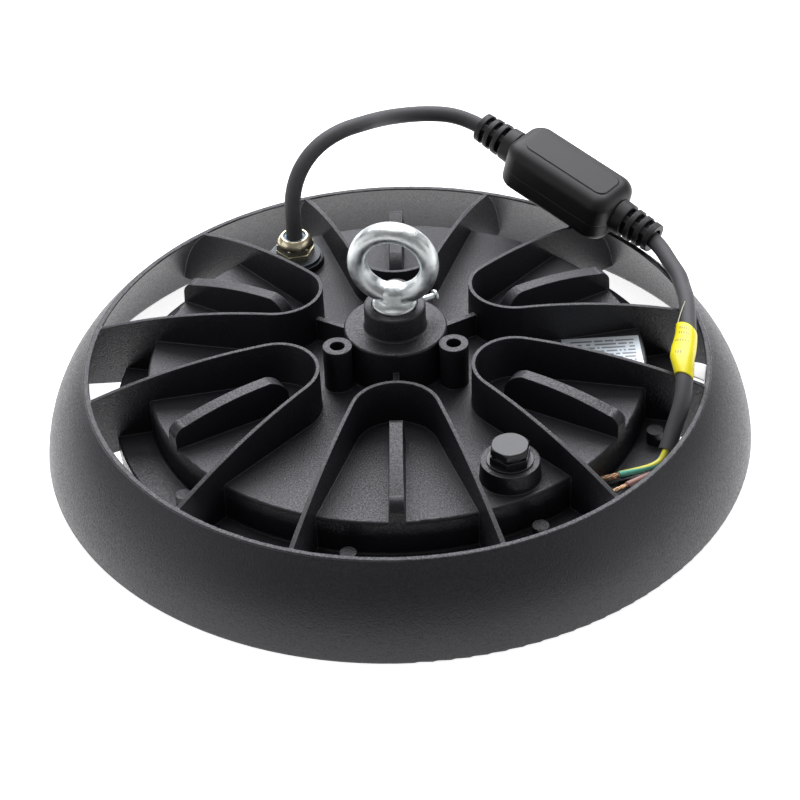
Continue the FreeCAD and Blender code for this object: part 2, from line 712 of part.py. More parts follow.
def disc(body, name, outline, holes, low, high):
    """Pad a round plate with round holes, given as lists of places and a radius."""
    sketch = new_sketch(body, name + "_plan", "XY_Plane", low)
    draw_circle(sketch, 0, 0, outline)
    for places, radius in holes:
        for across, along in places:
            draw_circle(sketch, across, along, radius)
    return raised(body, name, sketch, high - low)


def hexagon(body, name, corner, low, high, hole=None):
    """Pad a hexagon, solid or with a round hole."""
    sketch = new_sketch(body, name + "_plan", "XY_Plane", low)
    draw_loop(sketch, evenly(corner, 0, 6))
    if hole is not None:
        draw_circle(sketch, 0, 0, hole)
    return raised(body, name, sketch, high - low)


def rounded_block(body, name, length, width, corner, low, high, kind="Pad"):
    """Pad or pocket a rectangle with round corners about the body's axis."""
    half, side = length / 2, width / 2
    sketch = new_sketch(body, name + "_plan", "XY_Plane", low)
    draw_loop(sketch, [
        (corner - half, -side, corner, 1),
        (half - corner, -side),
        (half, corner - side, corner, 1),
        (half, side - corner),
        (half - corner, side, corner, 1),
        (corner - half, side),
        (-half, side - corner, corner, 1),
        (-half, corner - side),
    ])
    return raised(body, name, sketch, high - low, kind=kind, reverse=kind == "Pocket")


def round_edges(body, name, feature, height, radius):
    """Fillet every edge of a feature that lies at one height."""
    doc.recompute()
    box_edges = []
    for index, edge in enumerate(feature.Shape.Edges):
        bounds = edge.BoundBox
        if abs(bounds.ZMin - height.value) < 0.001 and abs(bounds.ZMax - height.value) < 0.001:
            box_edges.append("Edge%d" % (index + 1))
    fillet = body.newObject("PartDesign::Fillet", name)
    fillet.Base = (feature, box_edges)
    fillet.Radius = radius.value
    fillet.setExpression("Radius", radius.text)
    fillet.Refine = False
    body.Tip = fillet
    return fillet


def turned_part(label, loops, place=None):
    """A piece turned about the vertical axis and then placed."""
    body = new_body(label)
    turned(body, label + "_turned", loops)
    if place is not None:
        body.Placement = place
    return body


def ring_loop(inner, outer, low, high):
    """Half section of a flat ring or, from a radius of zero, of a cylinder."""
    return [(inner, low), (outer, low), (outer, high), (inner, high)]


def make_eye_bolt():
    """Forged eye bolt: stem, collar and neck turned in one, with the ring of the eye across them."""
    seat = boss_top - collar_recess
    top = seat + collar_height
    neck = neck_radius - edge_step
    dome = (neck * neck + edge_step * edge_step * 16) / (edge_step * 8)
    body = new_body("eye_bolt")
    turned(body, "stem_and_neck", [[
        (0, seat - stem_length),
        (stem_radius - edge_step, seat - stem_length),
        (stem_radius, seat - stem_length + edge_step),
        (stem_radius, seat),
        (collar_radius, seat),
        (collar_radius, top - edge_step),
        (collar_radius - edge_step, top, edge_step, 1),
        (neck_radius, top + 2 * edge_step, 8, -1),
        (neck, eye_height - eye_hole - 2 * edge_step),
        (0, eye_height - eye_hole + 2 * edge_step, dome, 1),
    ]])
    sketch = new_sketch(body, "eye_section", "YZ_Plane")
    sketch.AttachmentOffset = Placement(Vector(0, eye_height.value, 0), Rotation())
    sketch.setExpression("AttachmentOffset.Base.y", eye_height.text)
    draw_loop(sketch, [
        (-eye_flat, eye_hole, eye_bar, 1),
        (eye_flat, eye_hole),
        (eye_flat + eye_bar, eye_hole + eye_bar, eye_bar, 1),
        (eye_flat, eye_hole + eye_bar * 2, eye_bar, 1),
        (-eye_flat, eye_hole + eye_bar * 2),
        (-eye_flat - eye_bar, eye_hole + eye_bar, eye_bar, 1),
    ])
    eye = body.newObject("PartDesign::Revolution", "eye")
    eye.Profile = sketch
    eye.ReferenceAxis = (sketch, ["H_Axis"])
    eye.Angle = 360
    eye.Refine = False
    body.Tip = eye
    body.Placement = Placement(Vector(), Rotation(UP, EYE_TURN))
    return body


def make_lock_screw():
    """Small screw that keeps the eye bolt from turning."""
    low = stem_radius + fit_gap
    high = low + lock_length
    body = turned_part("lock_screw", [[
        (0, low),
        (lock_radius, low),
        (lock_radius, high),
        (lock_head, high),
        (lock_head, high + head_height - edge_step),
        (lock_head - edge_step, high + head_height, edge_step, 1),
        (0, high + head_height),
    ]])
    sideways = Rotation(UP, lock_angle.value) * Rotation(Vector(0, 1, 0), 90)
    body.Placement = Placement(Vector(0, 0, (boss_top - lock_drop).value), sideways)
    return body


def make_gland():
    """Sealing washer, threaded body, rubber seal and dome nut of the cable gland."""
    place = rotated(GLAND_PLACE, 12)
    washer_top = gland_pad_top + washer_height
    body_top = washer_top + gland_flange
    top = body_top + nut_height
    shoulder = body_top - edge_step
    grip = lead_radius + lead_clearance
    washer = turned_part(
        "gland_washer", [ring_loop(gland_thread + fit_gap, washer_radius, gland_pad_top, washer_top)], place)
    body = new_body("gland_body")
    hexagon(body, "gland_hexagon", gland_corner, washer_top, body_top, grip)
    turned(body, "gland_thread_part", [[
        (core_hole, washer_top - gland_tail),
        (gland_thread - edge_step, washer_top - gland_tail),
        (gland_thread, washer_top - gland_tail + edge_step),
        (gland_thread, shoulder - edge_step),
        (core_hole, shoulder - edge_step),
    ]])
    body.Placement = place
    seal = turned_part("gland_seal", [[
        (grip, body_top),
        (nut_cavity - fit_gap, body_top),
        (nut_cavity - fit_gap, top - nut_lip - fit_gap),
        (nut_mouth - fit_gap, top - nut_lip - fit_gap),
        (nut_mouth - fit_gap, top - edge_step),
        (grip, top - edge_step),
    ]], place)
    nut = new_body("gland_nut")
    hexagon(nut, "nut_hexagon", nut_corner, body_top, body_top + nut_hex, nut_cavity)
    turned(nut, "nut_dome", [[
        (nut_cavity, body_top + nut_hex - edge_step),
        (nut_radius, body_top + nut_hex - edge_step),
        (nut_radius, body_top + nut_hex + edge_step),
        (nut_mouth + edge_step, top, nut_height, 1),
        (nut_mouth, top),
        (nut_mouth, top - nut_lip),
        (nut_cavity, top - nut_lip),
    ]])
    nut.Placement = place
    return [washer, body, seal, nut]


def make_vent():
    """Breather plug in two hexagonal tiers on its washer."""
    place = rotated(VENT_PLACE, 20)
    low = vent_pad_top + vent_washer_height
    middle = low + vent_tier
    upper = middle + vent_groove
    top = upper + vent_cap
    washer = turned_part(
        "vent_washer", [ring_loop(vent_thread + fit_gap, vent_washer_radius, vent_pad_top, low)], place)
    plug = new_body("vent_plug")
    hexagon(plug, "vent_lower_tier", vent_corner, low, middle)
    hexagon(plug, "vent_upper_tier", vent_corner - edge_step / 2, upper, top)
    turned(plug, "vent_stem", [[
        (0, low - vent_tail),
        (vent_thread - edge_step, low - vent_tail),
        (vent_thread, low - vent_tail + edge_step),
        (vent_thread, middle - edge_step),
        (vent_neck, middle - edge_step),
        (vent_neck, upper + edge_step),
        (0, upper + edge_step),
    ]])
    turned(plug, "vent_chamfer", [[
        (vent_corner - 2 * edge_step, top),
        (vent_corner + edge_step, top - 2 * edge_step),
        (vent_corner + edge_step, top),
    ]], kind="Groove")
    plug.Placement = place
    return [washer, plug]


def make_label():
    """Rating label on the roof."""
    body = new_body("rating_label")
    half, side = label_length / 2, label_width / 2
    block(body, "label_sheet", (-half, half), (-side, side), disc_top, disc_top + label_thickness)
    body.Placement = Placement(Vector(*LABEL_CENTRE), Rotation(UP, LABEL_TURN))
    return body


def make_screws(label, places, head_bottom, head_top, shank_end):
    """One group of equal screws, each a head and a shank."""
    body = new_body(label)
    body.AllowCompound = True
    round_posts(body, label + "_heads", places, small_head, head_bottom, head_top)
    low, high = (head_top, shank_end) if shank_end.value > head_top.value else (shank_end, head_bottom)
    round_posts(body, label + "_shanks", places, small_screw, low, high)
    return body


def make_light_unit():
    """Mounting plate, light board and chips, and the lens with its gasket, ring and screws."""
    board_top = plate_seat - plate_thickness
    board_under = board_top - board_thickness
    chip_under = board_under - chip_height
    gasket_under = flange_under - gasket_thickness
    lens_under = gasket_under - lens_thickness
    frame_under = lens_under - frame_thickness
    loose = small_screw + screw_clearance
    middle = [(as_size(0), as_size(0))]
    plate = new_body("mounting_plate")
    disc(plate, "plate", plate_radius, [
        (middle, wire_hole), (COLUMN_PLACES, loose), (DRIVER_PLACES, screw_hole)], board_top, plate_seat)
    board = new_body("led_board")
    disc(board, "light_board", light_board_radius, [
        (middle, wire_hole), (COLUMN_PLACES, loose)], board_under, board_top)
    chips = new_body("led_chips")
    chips.AllowCompound = True
    half = chip_size / 2
    for ring, (distance, count) in enumerate(CHIP_RINGS):
        chip = block(chips, "chip%d" % ring, (distance - half, distance + half), (-half, half),
                     chip_under, board_under)
        around(chips, "chips%d" % ring, chip, count)
    gasket = new_body("lens_gasket")
    disc(gasket, "gasket", gasket_outer, [
        (middle, gasket_inner), (PILLAR_PLACES, loose)], gasket_under, flange_under)
    lens = new_body("lens")
    disc(lens, "lens_sheet", lens_radius, [(PILLAR_PLACES, loose)], lens_under, gasket_under)
    frame = new_body("lens_frame")
    disc(frame, "frame", frame_radius, [
        (middle, gasket_inner), (PILLAR_PLACES, loose)], frame_under, lens_under)
    board_screws = make_screws(
        "board_screws", COLUMN_PLACES, board_under - head_height, board_under, board_under + board_screw_reach)
    lens_screws = make_screws(
        "lens_screws", PILLAR_PLACES, frame_under - head_height, frame_under, frame_under + lens_screw_reach)
    return [plate, board, chips, board_screws, gasket, lens, frame, lens_screws]


def make_driver():
    """Driver board on its spacers with the components that stand on it."""
    under = plate_seat + spacer_height
    top = under + board_thickness
    loose = small_screw + screw_clearance
    half, side = driver_length / 2, driver_width / 2
    spacers = new_body("driver_spacers")
    spacers.AllowCompound = True
    sketch = new_sketch(spacers, "spacers_plan", "XY_Plane", plate_seat)
    for across, along in DRIVER_PLACES:
        draw_circle(sketch, across, along, spacer_radius)
        draw_circle(sketch, across, along, loose)
    raised(spacers, "spacers", sketch, spacer_height)
    board = new_body("driver_board")
    block(board, "driver_sheet", (-half, half), (-side, side), under, top)
    round_holes(board, "driver_holes", DRIVER_PLACES, loose, top, board_thickness)
    screws = make_screws("driver_screws", DRIVER_PLACES, top, top + head_height, top - driver_screw_reach)
    transformer = new_body("driver_transformer")
    block(transformer, "core_block", (-core_block_length / 2, core_block_length / 2),
          (-core_block_width / 2, core_block_width / 2), top, top + core_block_height)
    block(transformer, "coil", (-coil_length / 2, coil_length / 2),
          (-coil_width / 2, coil_width / 2), top, top + coil_height)
    transformer.Placement = Placement(Vector(*TRANSFORMER_PLACE, 0), Rotation())
    choke = turned_part("driver_choke", [ring_loop(0, choke_radius, top, top + choke_height)])
    choke.Placement = Placement(Vector(*CHOKE_PLACE, 0), Rotation())
    capacitors = new_body("driver_capacitors")
    capacitors.AllowCompound = True
    round_posts(capacitors, "capacitor_cans", CAPACITOR_PLACES, capacitor_radius, top, top + capacitor_height)
    terminal = new_body("driver_terminal")
    block(terminal, "terminal_block", (-terminal_length / 2, terminal_length / 2),
          (-terminal_width / 2, terminal_width / 2), top, top + terminal_height)
    terminal.Placement = Placement(Vector(*TERMINAL_PLACE, 0), Rotation())
    return [spacers, board, screws, transformer, choke, capacitors, terminal]


def cut_lead_ports(body, name):
    """Bore both end walls of the module for the strain reliefs."""
    bore = body.newObject("PartDesign::SubtractiveCylinder", name)
    bore.AttachmentSupport = [(origin_part(body, "XY_Plane"), "")]
    bore.MapMode = "FlatFace"
    across = Vector((-module_length / 2 - 1).value, 0, (module_height / 2).value)
    bore.AttachmentOffset = Placement(across, Rotation(Vector(0, 1, 0), 90))
    bore.setExpression("AttachmentOffset.Base.x", (-module_length / 2 - 1).text)
    bore.setExpression("AttachmentOffset.Base.z", (module_height / 2).text)
    bore.Radius = (relief_plug + fit_gap).value
    bore.setExpression("Radius", (relief_plug + fit_gap).text)
    bore.Height = (module_length + 2).value
    bore.setExpression("Height", (module_length + 2).text)
    bore.Refine = False
    body.Tip = bore


def make_module():
    """Inline module: two shells that meet at a seam, with a small board on posts inside."""
    inner_length, inner_width = module_length - module_wall * 2, module_width - module_wall * 2
    inner_corner = module_corner - module_wall
    base = new_body("module_base")
    shell = rounded_block(
        base, "base_shell", module_length, module_width, module_corner, as_size(0), module_seam)
    round_edges(base, "base_foot", shell, as_size(0), module_foot)
    rounded_block(base, "base_room", inner_length, inner_width, inner_corner,
                  module_wall, module_seam, kind="Pocket")
    half, side = module_board_length / 2 - module_post, module_board_width / 2 - module_post
    corners = [(half, side), (half, -side), (-half, side), (-half, -side)]
    round_posts(base, "base_posts", corners, module_post, module_wall - edge_step / 2,
                module_wall + module_post_height)
    cut_lead_ports(base, "base_ports")
    cover = new_body("module_cover")
    lid = rounded_block(
        cover, "cover_shell", module_length, module_width, module_corner, module_seam, module_height)
    round_edges(cover, "cover_shoulder", lid, module_height, module_shoulder)
    rounded_block(cover, "cover_room", inner_length, inner_width, inner_corner,
                  module_seam, module_height - module_wall - module_wall, kind="Pocket")
    rounded_block(cover, "panel", module_length - panel_inset * 2, module_width - panel_inset * 2,
                  module_foot, module_height - edge_step, module_height + panel_height)
    cut_lead_ports(cover, "cover_ports")
    board = new_body("module_board")
    low = module_wall + module_post_height
    block(board, "module_sheet", (-module_board_length / 2, module_board_length / 2),
          (-module_board_width / 2, module_board_width / 2), low, low + board_thickness)
    for body in (base, cover, board):
        body.Placement = MODULE_PLACE
    return [base, cover, board]


def make_strain_relief(label, end):
    """Tapered rubber sleeve with rungs, four rails and a plug in the module's end wall."""
    grip = lead_radius + lead_clearance

    def width_at(height):
        return relief_root - (relief_root - relief_tip) * height / relief_length

    outline = [
        (core_hole, -module_wall),
        (relief_plug, -module_wall),
        (relief_plug, 0),
        (relief_root, 0),
        (width_at(relief_first), relief_first),
    ]
    for turn in range(RUNG_COUNT):
        slot = relief_first + relief_slot * (2 * turn)
        rung = slot + relief_slot
        last = rung + relief_slot if turn < RUNG_COUNT - 1 else relief_length
        outline += [(relief_core, slot), (relief_core, rung), (width_at(rung), rung), (width_at(last), last)]
    outline += [
        (grip + edge_step, relief_length),
        (grip, relief_length - relief_mouth),
        (grip, relief_length - relief_grip),
        (core_hole, relief_length - relief_grip),
    ]
    body = new_body(label)
    turned(body, label + "_sleeve", [outline])
    half = relief_rail / 2
    slots_end = relief_first + relief_slot * (2 * RUNG_COUNT - 1)
    rail = block(body, label + "_rail", (relief_core - edge_step / 2, relief_tip - edge_step / 2), (-half, half),
                 relief_first - edge_step / 2, slots_end + edge_step / 2)
    around(body, label + "_rails", rail, 4)
    point = Vector((module_length / 2).value * end, 0, (module_height / 2).value)
    turn = Rotation(Vector(0, 1, 0), 90 * end) * Rotation(UP, 45)
    body.Placement = MODULE_PLACE * Placement(point, turn)
    return body


def lead_edges(label, route):
    """Straight runs joined by the largest arcs that fit. Prints the smallest radius and the length."""
    points = [Vector(*point) for point in route]
    edges = []
    radii = []
    start = points[0]
    for before, corner, after in zip(points, points[1:], points[2:]):
        inward, outward = corner - before, after - corner
        half_turn = inward.getAngle(outward) / 2
        reach = ARC_SHARE * min(inward.Length, outward.Length)
        radii.append(reach / math.tan(half_turn))
        inward.normalize()
        outward.normalize()
        first = corner - inward * reach
        last = corner + outward * reach
        bulge = (outward - inward).normalize() * (radii[-1] / math.cos(half_turn) - radii[-1])
        edges.append(Part.LineSegment(start, first).toShape())
        edges.append(Part.Arc(first, corner + bulge, last).toShape())
        start = last
    edges.append(Part.LineSegment(start, points[-1]).toShape())
    print(label, "radii", [round(radius, 1) for radius in radii])
    return edges


def tube(label, edges, radius):
    """Sweep a round section along a path."""
    path = doc.addObject("Part::Feature", label + "_path")
    path.Shape = Part.Wire(edges)
    section = doc.addObject("Part::Circle", label + "_section")
    section.Radius = radius.value
    section.setExpression("Radius", radius.text)
    begin = edges[0].Vertexes[0].Point
    section.Placement = Placement(begin, Rotation(UP, edges[0].tangentAt(edges[0].FirstParameter)))
    sweep = doc.addObject("Part::Sweep", label)
    sweep.Label = label
    sweep.Sections = [section]
    sweep.Spine = (path, [])
    sweep.Solid = True
    sweep.Frenet = False
    return sweep


def make_leads():
    """Both leads, the wire tag with its flag, and the bared cores at the tail's end."""
    half = module_length / 2
    middle = module_height / 2
    inner = (half + relief_length - relief_grip).value
    outer = (half + relief_length).value + EXIT_RUN
    module_in = [MODULE_PLACE.multVec(Vector(-reach, 0, middle.value)) for reach in (outer, inner)]
    module_out = [MODULE_PLACE.multVec(Vector(reach, 0, middle.value)) for reach in (inner, outer)]
    seat = gland_pad_top + washer_height + gland_flange - 2 * edge_step
    foot = Vector(GLAND_PLACE[0].value, GLAND_PLACE[1].value, seat.value)
    supply_edges = lead_edges("supply_lead", [foot, foot + UP * FIRST_RUN] + SUPPLY_ROUTE + module_in)
    tail_route = module_out + TAIL_ROUTE
    tail_edges = lead_edges("tail_lead", tail_route)
    supply = tube("supply_lead", supply_edges, lead_radius)
    tail = tube("tail_lead", tail_edges, lead_radius)
    tag_edges = tail_edges[TAG_FIRST:TAG_LAST]
    outside = tube("tag_outside", tag_edges, lead_radius + lead_clearance + tag_wall)
    inside = tube("tag_inside", tag_edges, lead_radius + lead_clearance)
    tag = doc.addObject("Part::Cut", "wire_tag")
    tag.Base = outside
    tag.Tool = inside

    end, before = Vector(*tail_route[-1]), Vector(*tail_route[-2])
    heading = (end - before).normalize()
    frame = Placement(end, Rotation(UP, heading))
    pieces = [supply, tail, tag, make_flag(tag_edges[-1])]
    for name, turn, route in CORE_ROUTES:
        angle = math.radians(turn)
        offset = Vector(core_circle.value * math.cos(angle), core_circle.value * math.sin(angle), 0)
        start = frame.multVec(offset)
        points = [start, start + heading * CORE_RUN] + [Vector(*point) for point in route]
        core = tube(name + "_core", lead_edges(name + "_core", points), core_radius)
        tip = points[-1]
        direction = (tip - points[-2]).normalize()
        strands = turned_part(name + "_strands", [ring_loop(0, strand_radius, 0, strand_length)])
        strands.Placement = Placement(tip, Rotation(UP, direction))
        pieces += [core, strands]
    return pieces


def make_flag(last_run):
    """White flag at the wire tag's end, standing out sideways from it."""
    body = new_body("tag_flag")
    low = lead_radius + lead_clearance + tag_wall
    block(body, "flag_sheet", (low, low + flag_reach), (-flag_length, as_size(0)), -tag_wall / 2, tag_wall / 2)
    along = last_run.tangentAt(last_run.LastParameter)
    sideways = UP.cross(along)
    turn = Rotation(sideways, along, sideways.cross(along), "YXZ")
    body.Placement = Placement(last_run.valueAt(last_run.LastParameter), turn)
    return body


sub_parts = [make_heat_sink(), make_eye_bolt(), make_lock_screw(), make_label()]
sub_parts += make_gland() + make_vent() + make_light_unit() + make_driver() + make_module()
sub_parts += [make_strain_relief("strain_relief_in", -1), make_strain_relief("strain_relief_out", 1)]
sub_parts += make_leads()
doc.recompute()

for item in doc.Objects:
    if "Invalid" in item.State or "Error" in item.State:
        raise RuntimeError("%s failed" % item.Label)
os.makedirs("parts", exist_ok=True)
for part in sub_parts:
    if part.Shape.isNull() or not part.Shape.isValid():
        raise RuntimeError("%s has no valid shape" % part.Label)
    part.Shape.exportStep("parts/%s.step" % part.Label)
    print(part.Label, len(part.Shape.Solids), round(part.Shape.Volume))
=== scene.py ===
"""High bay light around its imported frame. Lengths are metres, and colours are sRGB hex values."""
import math

import bpy
import numpy as np
from mathutils import Matrix, Vector


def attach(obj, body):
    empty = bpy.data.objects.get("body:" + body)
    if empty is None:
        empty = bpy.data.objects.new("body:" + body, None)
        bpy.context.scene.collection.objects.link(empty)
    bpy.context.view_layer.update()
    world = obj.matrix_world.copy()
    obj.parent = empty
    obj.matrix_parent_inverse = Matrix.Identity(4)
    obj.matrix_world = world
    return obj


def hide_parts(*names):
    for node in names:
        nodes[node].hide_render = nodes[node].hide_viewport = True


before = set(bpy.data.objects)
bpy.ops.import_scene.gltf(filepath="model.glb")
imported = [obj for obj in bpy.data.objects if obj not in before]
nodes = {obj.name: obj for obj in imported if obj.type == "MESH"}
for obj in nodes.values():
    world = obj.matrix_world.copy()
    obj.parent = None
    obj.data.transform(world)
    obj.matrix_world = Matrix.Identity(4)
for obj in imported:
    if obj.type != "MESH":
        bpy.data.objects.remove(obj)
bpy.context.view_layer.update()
MM = 0.001

# Camera, from the outline of the ring and the eye bolt in the reference view
VIEW_HEIGHT = math.radians(37.262)
VIEW_ROLL = math.radians(-2.283)
VIEW_TURN = math.radians(1.241)
VIEW_DISTANCE = 1.2366
VIEW_TARGET = Vector((0.00073, 0.0, 0.01512))
VIEW_LENS = 119.27

# Sizes of the leads, and the place of the rating label on the roof
LEAD_RADIUS = 3.9 * MM
CORE_RADIUS = 1.5 * MM
STRAND_BUNDLE = 0.95 * MM
WIRE_RADIUS = 0.27 * MM
STRAND_LENGTH = 8.4 * MM
STRAND_TUCK = 0.6 * MM
LAY_LENGTH = 18 * MM
LABEL_PLACE = (95.13 * MM, 1.78 * MM, 0.0)
LABEL_TURN = math.radians(3)

# The field of bars on the label: half its sides, the rows' spacing and shift, half a bar's height as a
# share of a row, the step of the bars' lengths, the share of steps left bare, and the ink's strength
LABEL_FIELD = (15.5 * MM, 11.4 * MM)
LABEL_ROW = 2.6 * MM
LABEL_SHIFT = 100 * MM
LABEL_BAR_HALF = 0.24
LABEL_STEP = 1.0 * MM
LABEL_BARE = 0.24
LABEL_INK = 0.7

# Routes of the leads as control points in millimetres, from the gland and from the module
SUPPLY_ROUTE = [
    (-49.0, 84.87, 43.4), (-49.0, 84.87, 58.4), (-49.3, 88.3, 72.3), (-45.1, 94.5, 84.0),
    (-36.4, 102.0, 92.2), (-25.1, 110.1, 95.3), (-14.5, 120.3, 92.7), (-6.6, 135.9, 85.6),
    (2.7, 146.6, 80.7), (15.7, 152.7, 77.9), (30.1, 152.9, 76.4), (43.29, 147.47, 72.88),
    (53.12, 139.56, 69.72),
]
TAIL_ROUTE = [
    (115.79, 89.13, 49.63), (125.62, 81.22, 46.48), (132.0, 60.5, 44.7), (134.4, 52.4, 45.0),
    (135.2, 41.9, 45.0), (135.9, 28.1, 47.5), (134.7, 9.3, 48.2), (133.1, -9.3, 48.9),
    (129.9, -24.8, 49.9), (128.6, -40.9, 43.6), (123.1, -52.2, 33.6), (119.7, -59.7, 27.9),
]


# Curves and meshes

def curve_points(route):
    """Points in metres along the smooth curve of order 3 that a route's control points shape."""
    curve = new_curve("measure", route, 0)
    holder = bpy.data.objects.new("measure", curve)
    mesh = bpy.data.meshes.new_from_object(holder)
    points = np.empty(len(mesh.vertices) * 3)
    mesh.vertices.foreach_get("co", points)
    bpy.data.objects.remove(holder)
    bpy.data.meshes.remove(mesh)
    bpy.data.curves.remove(curve)
    return points.reshape(-1, 3)


def new_curve(name, route, radius):
    """Round tube on a smooth open curve of order 3 that starts and ends at the route's end points."""
    curve = bpy.data.curves.new(name, "CURVE")
    curve.dimensions = "3D"
    spline = curve.splines.new("NURBS")
    spline.points.add(len(route) - 1)
    control = np.ones((len(route), 4))
    control[:, :3] = np.array(route) * MM
    spline.points.foreach_set("co", control.ravel())
    spline.order_u = 3
    spline.use_endpoint_u = True
    spline.resolution_u = 12
    curve.bevel_depth = radius
    curve.bevel_resolution = 6
    curve.use_fill_caps = True
    return curve


def resample(points, count):
    """Points evenly spaced along a polyline."""
    steps = np.linalg.norm(np.diff(points, axis=0), axis=1)
    travel = np.concatenate([[0.0], np.cumsum(steps)])
    places = np.linspace(0.0, travel[-1], count)
    return np.stack([np.interp(places, travel, points[:, axis]) for axis in range(3)], axis=1)


def side_axes(points, up):
    """For each point of a path, its direction and two unit vectors square to it, the second near up."""
    along = np.gradient(points, axis=0)
    along /= np.linalg.norm(along, axis=1)[:, None]
    across = np.cross(along, np.array(up, float))
    across /= np.linalg.norm(across, axis=1)[:, None]
    return along, across, np.cross(across, along)


def grid_object(name, grid, closed_round, caps=True):
    """Mesh of a grid of points, closed round its second direction or open, with its ends capped."""
    rows, columns = grid.shape[:2]
    last = columns if closed_round else columns - 1
    row, column = np.meshgrid(np.arange(rows - 1), np.arange(last), indexing="ij")
    right = (column + 1) % columns
    near, far = row * columns, (row + 1) * columns
    faces = np.stack([near + column, near + right, far + right, far + column], axis=-1).reshape(-1, 4)
    faces = [tuple(int(value) for value in face) for face in faces]
    if closed_round and caps:
        faces.append(tuple(range(columns - 1, -1, -1)))
        faces.append(tuple(range((rows - 1) * columns, rows * columns)))
    mesh = bpy.data.meshes.new(name)
    mesh.from_pydata([tuple(point) for point in grid.reshape(-1, 3).tolist()], [], faces)
    uv = mesh.uv_layers.new(name="around_and_along")
    corner = np.empty(len(mesh.loops), int)
    mesh.loops.foreach_get("vertex_index", corner)
    around = (corner % columns) / last
    coordinates = np.stack([around, (corner // columns) / (rows - 1)], axis=1)
    uv.data.foreach_set("uv", coordinates.ravel())
    mesh.polygons.foreach_set("use_smooth", np.ones(len(mesh.polygons), bool))
    mesh.validate()
    obj = bpy.data.objects.new(name, mesh)
    bpy.context.collection.objects.link(obj)
    return obj


def tube_object(name, points, radius, sides=20, up=(0, 0, 1)):
    """Round tube: a circle of a radius carried along a path."""
    _, across, above = side_axes(points, up)
    turn = np.linspace(0, 2 * math.pi, sides, endpoint=False)
    circle = across[:, None] * np.cos(turn)[None, :, None]
    circle = circle + above[:, None] * np.sin(turn)[None, :, None]
    radius = np.broadcast_to(radius, len(points))
    return grid_object(name, points[:, None] + circle * radius[:, None, None], True)


# Materials

def linear(hex_colour):
    """Turn an sRGB hex value into linear colour."""
    values = [int(hex_colour[index:index + 2], 16) / 255 for index in (1, 3, 5)]
    return tuple(v / 12.92 if v <= 0.04045 else ((v + 0.055) / 1.055) ** 2.4 for v in values) + (1.0,)


def add_node(tree, kind, settings=None, **links):
    """Add a node, set its properties and values, and link its inputs by name, or by number after _."""
    made = tree.nodes.new(kind)
    for key, value in (settings or {}).items():
        if hasattr(made, key):
            setattr(made, key, value)
        else:
            made.inputs[key].default_value = value
    for key, source in links.items():
        tree.links.new(source, made.inputs[int(key[1:]) if key.startswith("_") else key])
    return made


def start_material(name, colour, roughness, metallic=0.0):
    """New material with its constant values set on the shader's own sockets."""
    material = bpy.data.materials.new(name)
    material.use_nodes = True
    tree = material.node_tree
    shader = tree.nodes["Principled BSDF"]
    shader.inputs["Base Color"].default_value = linear(colour)
    shader.inputs["Roughness"].default_value = roughness
    shader.inputs["Metallic"].default_value = metallic
    return material, tree, shader


def object_place(tree):
    """Place on the object, in metres."""
    return add_node(tree, "ShaderNodeTexCoord").outputs["Object"]


def grain(tree, place, size, detail=2.0):
    """Noise whose lumps have a real size in metres."""
    return add_node(tree, "ShaderNodeTexNoise", {"Scale": 1.0 / size, "Detail": detail}, Vector=place)


def mixed(tree, factor, low, high):
    """Colour between two hex values or sockets."""
    made = add_node(tree, "ShaderNodeMix", {"data_type": "RGBA"})
    tree.links.new(factor, made.inputs[0])
    for index, value in ((6, low), (7, high)):
        if isinstance(value, str):
            made.inputs[index].default_value = linear(value)
        else:
            tree.links.new(value, made.inputs[index])
    return made.outputs[2]


def remap(tree, value, from_low, from_high, to_low=0.0, to_high=1.0):
    """Value moved from one range to another in a straight line, and held at its ends."""
    settings = {"From Min": from_low, "From Max": from_high, "To Min": to_low, "To Max": to_high}
    return add_node(tree, "ShaderNodeMapRange", settings, Value=value).outputs[0]


def maths(tree, operation, first, second=0.0):
    """Result of one sum on two numbers or sockets."""
    made = add_node(tree, "ShaderNodeMath", {"operation": operation})
    for index, value in ((0, first), (1, second)):
        if isinstance(value, (int, float)):
            made.inputs[index].default_value = value
        else:
            tree.links.new(value, made.inputs[index])
    return made.outputs[0]


def bumped(tree, shader, height, distance, strength=1.0, normal=None):
    """Give the shader a bump of a real height, on top of another normal where one is given."""
    bump = add_node(tree, "ShaderNodeBump", {"Distance": distance, "Strength": strength}, Height=height)
    if normal is not None:
        tree.links.new(normal, bump.inputs["Normal"])
    tree.links.new(bump.outputs[0], shader.inputs["Normal"])


def edge_mask(tree, radius):
    """Rounded normal near edges and fillets, and how far it leans from the flat one by its cosine."""
    soft = add_node(tree, "ShaderNodeBevel", {"samples": 6, "Radius": radius}).outputs[0]
    flat = add_node(tree, "ShaderNodeNewGeometry").outputs["Normal"]
    lean = add_node(tree, "ShaderNodeVectorMath", {"operation": "DOT_PRODUCT"}, _0=soft, _1=flat)
    return soft, remap(tree, lean.outputs["Value"], 0.998, 0.90)


def powder_coat():
    """Satin black powder coat on die-cast aluminium: fine sandy peel, and a painted highlight that makes
    edges and fillets paler.
    """
    material, tree, shader = start_material("powder coat", "#151517", 0.46)
    place = object_place(tree)
    peel = grain(tree, place, 0.9 * MM, 3.0)
    cloud = grain(tree, place, 28 * MM, 3.0)
    soft, edges = edge_mask(tree, 0.7 * MM)
    body = mixed(tree, cloud.outputs[0], "#1b1b20", "#24242a")
    # Painted highlight: near edges and fillets the colour is mixed towards pale grey.
    edge_highlight = mixed(tree, maths(tree, "MULTIPLY", edges, 0.65), body, "#6a6b71")
    tree.links.new(edge_highlight, shader.inputs["Base Color"])
    rough = remap(tree, peel.outputs[0], 0.35, 0.65, 0.36, 0.58)
    tree.links.new(rough, shader.inputs["Roughness"])
    bumped(tree, shader, peel.outputs[0], 0.2 * MM, 0.9, soft)
    return material


